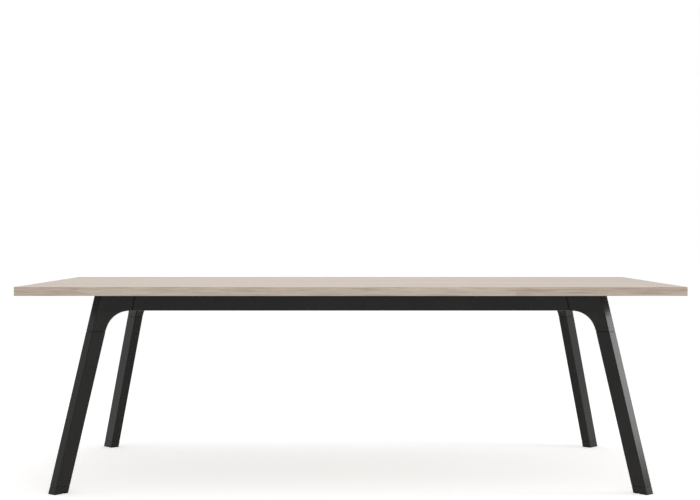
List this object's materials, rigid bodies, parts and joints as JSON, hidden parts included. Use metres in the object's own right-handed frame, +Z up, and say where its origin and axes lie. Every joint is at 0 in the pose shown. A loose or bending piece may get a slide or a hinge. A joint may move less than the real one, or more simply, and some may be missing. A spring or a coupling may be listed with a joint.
{
  "type": "conference table",
  "caption": "Long rectangular conference table: oak-decor board top on a black tube frame with splayed legs, arced corner castings and levelling shoes.",
  "frame": {"origin": "on the floor, under the middle of the top", "axes": "+X along the table to the right as seen from the front, +Y towards the back, +Z up"},
  "size_m": [2.4, 1.2, 0.743],
  "materials": {
    "oak_board": "matt light oak decor, grain along the length",
    "oak_band": "matt plastic edge band with an oak decor",
    "black_coat": "fine-textured black powder coat on steel tube",
    "black_casting": "fine-textured black powder coat on cast aluminium",
    "black_plastic": "matt moulded plastic",
    "zinc_steel": "zinc-plated steel"
  },
  "bodies": {
    "frame": {"top_panel": "oak_board", "edge_band_front": "oak_band", "edge_band_back": "oak_band", "edge_band_left": "oak_band", "edge_band_right": "oak_band", "long_beam_front": "black_coat", "long_beam_back": "black_coat", "end_beam_left": "black_coat", "end_beam_right": "black_coat", "centre_rail": "black_coat", "leg_front_left": "black_coat", "leg_front_right": "black_coat", "leg_back_left": "black_coat", "leg_back_right": "black_coat", "corner_casting_front_left": "black_casting", "corner_casting_front_right": "black_casting", "corner_casting_back_left": "black_casting", "corner_casting_back_right": "black_casting", "leg_plate_front_left": "zinc_steel", "leg_plate_front_right": "zinc_steel", "leg_plate_back_left": "zinc_steel", "leg_plate_back_right": "zinc_steel", "spindle_nut_front_left": "zinc_steel", "spindle_nut_front_right": "zinc_steel", "spindle_nut_back_left": "zinc_steel", "spindle_nut_back_right": "zinc_steel", "leg_bolt_front_left": "zinc_steel", "leg_bolt_front_right": "zinc_steel", "leg_bolt_back_left": "zinc_steel", "leg_bolt_back_right": "zinc_steel", "long_beam_bolt_front_left": "zinc_steel", "long_beam_bolt_front_right": "zinc_steel", "long_beam_bolt_back_left": "zinc_steel", "long_beam_bolt_back_right": "zinc_steel", "end_beam_bolt_front_left": "zinc_steel", "end_beam_bolt_front_right": "zinc_steel", "end_beam_bolt_back_left": "zinc_steel", "end_beam_bolt_back_right": "zinc_steel", "rail_bolt_front_left": "zinc_steel", "rail_bolt_front_right": "zinc_steel", "rail_bolt_back_left": "zinc_steel", "rail_bolt_back_right": "zinc_steel", "corner_screw_front_left": "zinc_steel", "corner_screw_front_right": "zinc_steel", "corner_screw_back_left": "zinc_steel", "corner_screw_back_right": "zinc_steel", "beam_screw_front_left": "zinc_steel", "beam_screw_front_right": "zinc_steel", "beam_screw_back_left": "zinc_steel", "beam_screw_back_right": "zinc_steel"},
    "shoe_front_left": {"shoe_front_left": "black_plastic"},
    "spindle_front_left": {"spindle_front_left": "zinc_steel"},
    "shoe_front_right": {"shoe_front_right": "black_plastic"},
    "spindle_front_right": {"spindle_front_right": "zinc_steel"},
    "shoe_back_left": {"shoe_back_left": "black_plastic"},
    "spindle_back_left": {"spindle_back_left": "zinc_steel"},
    "shoe_back_right": {"shoe_back_right": "black_plastic"},
    "spindle_back_right": {"spindle_back_right": "zinc_steel"}
  },
  "joints": [
    {"name": "shoe_slide_front_left", "type": "slide", "parent": "frame", "child": "shoe_front_left", "axis": [-0.2001, -0.1538, -0.9676], "range_m": [0, 0.015]},
    {"name": "shoe_slide_front_right", "type": "slide", "parent": "frame", "child": "shoe_front_right", "axis": [0.2001, -0.1538, -0.9676], "range_m": [0, 0.015]},
    {"name": "shoe_slide_back_left", "type": "slide", "parent": "frame", "child": "shoe_back_left", "axis": [-0.2001, 0.1538, -0.9676], "range_m": [0, 0.015]},
    {"name": "shoe_slide_back_right", "type": "slide", "parent": "frame", "child": "shoe_back_right", "axis": [0.2001, 0.1538, -0.9676], "range_m": [0, 0.015]},
    {"name": "spindle_turn_front_left", "type": "hinge", "parent": "shoe_front_left", "child": "spindle_front_left", "pos_m": [-1.03375, -0.54613, 0.081], "axis": [-0.2001, -0.1538, -0.9676], "range_deg": [0, 3601]},
    {"name": "spindle_turn_front_right", "type": "hinge", "parent": "shoe_front_right", "child": "spindle_front_right", "pos_m": [1.03375, -0.54613, 0.081], "axis": [0.2001, -0.1538, -0.9676], "range_deg": [0, 3601]},
    {"name": "spindle_turn_back_left", "type": "hinge", "parent": "shoe_back_left", "child": "spindle_back_left", "pos_m": [-1.03375, 0.54613, 0.081], "axis": [-0.2001, 0.1538, -0.9676], "range_deg": [0, 3601]},
    {"name": "spindle_turn_back_right", "type": "hinge", "parent": "shoe_back_right", "child": "spindle_back_right", "pos_m": [1.03375, 0.54613, 0.081], "axis": [0.2001, 0.1538, -0.9676], "range_deg": [0, 3601]}
  ],
  "couplings": [
    {"joint": "spindle_turn_front_left", "follows": "shoe_slide_front_left", "rad_per_m": 4188.8},
    {"joint": "spindle_turn_front_right", "follows": "shoe_slide_front_right", "rad_per_m": 4188.8},
    {"joint": "spindle_turn_back_left", "follows": "shoe_slide_back_left", "rad_per_m": 4188.8},
    {"joint": "spindle_turn_back_right", "follows": "shoe_slide_back_right", "rad_per_m": 4188.8}
  ]
}
